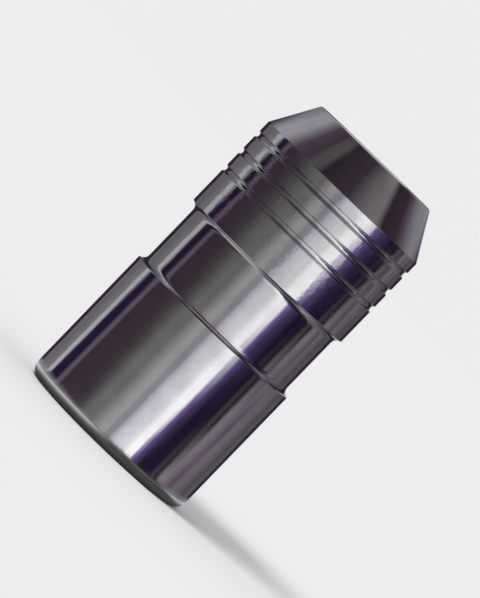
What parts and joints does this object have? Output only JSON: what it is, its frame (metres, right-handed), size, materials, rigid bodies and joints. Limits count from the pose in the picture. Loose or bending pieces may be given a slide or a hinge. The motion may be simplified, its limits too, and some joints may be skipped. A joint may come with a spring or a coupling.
{
  "type": "locking wheel nut",
  "caption": "Cylindrical conical-seat locking wheel nut with a waist, turned rings, a blind threaded bore and a wavy coded groove in its closed end.",
  "frame": {"origin": "centre of the closed end face, which the nut stands on", "axes": "+Z along the nut's axis, from the closed end to the tip of the conical seat and the mouth of the stud bore"},
  "size_m": [0.0228, 0.0228, 0.0435],
  "materials": {
    "chrome_plate": "bright chrome plating over hardened steel, faintly mottled round the rings and waist"
  },
  "bodies": {
    "root": {"nut": "chrome_plate"}
  },
  "joints": []
}
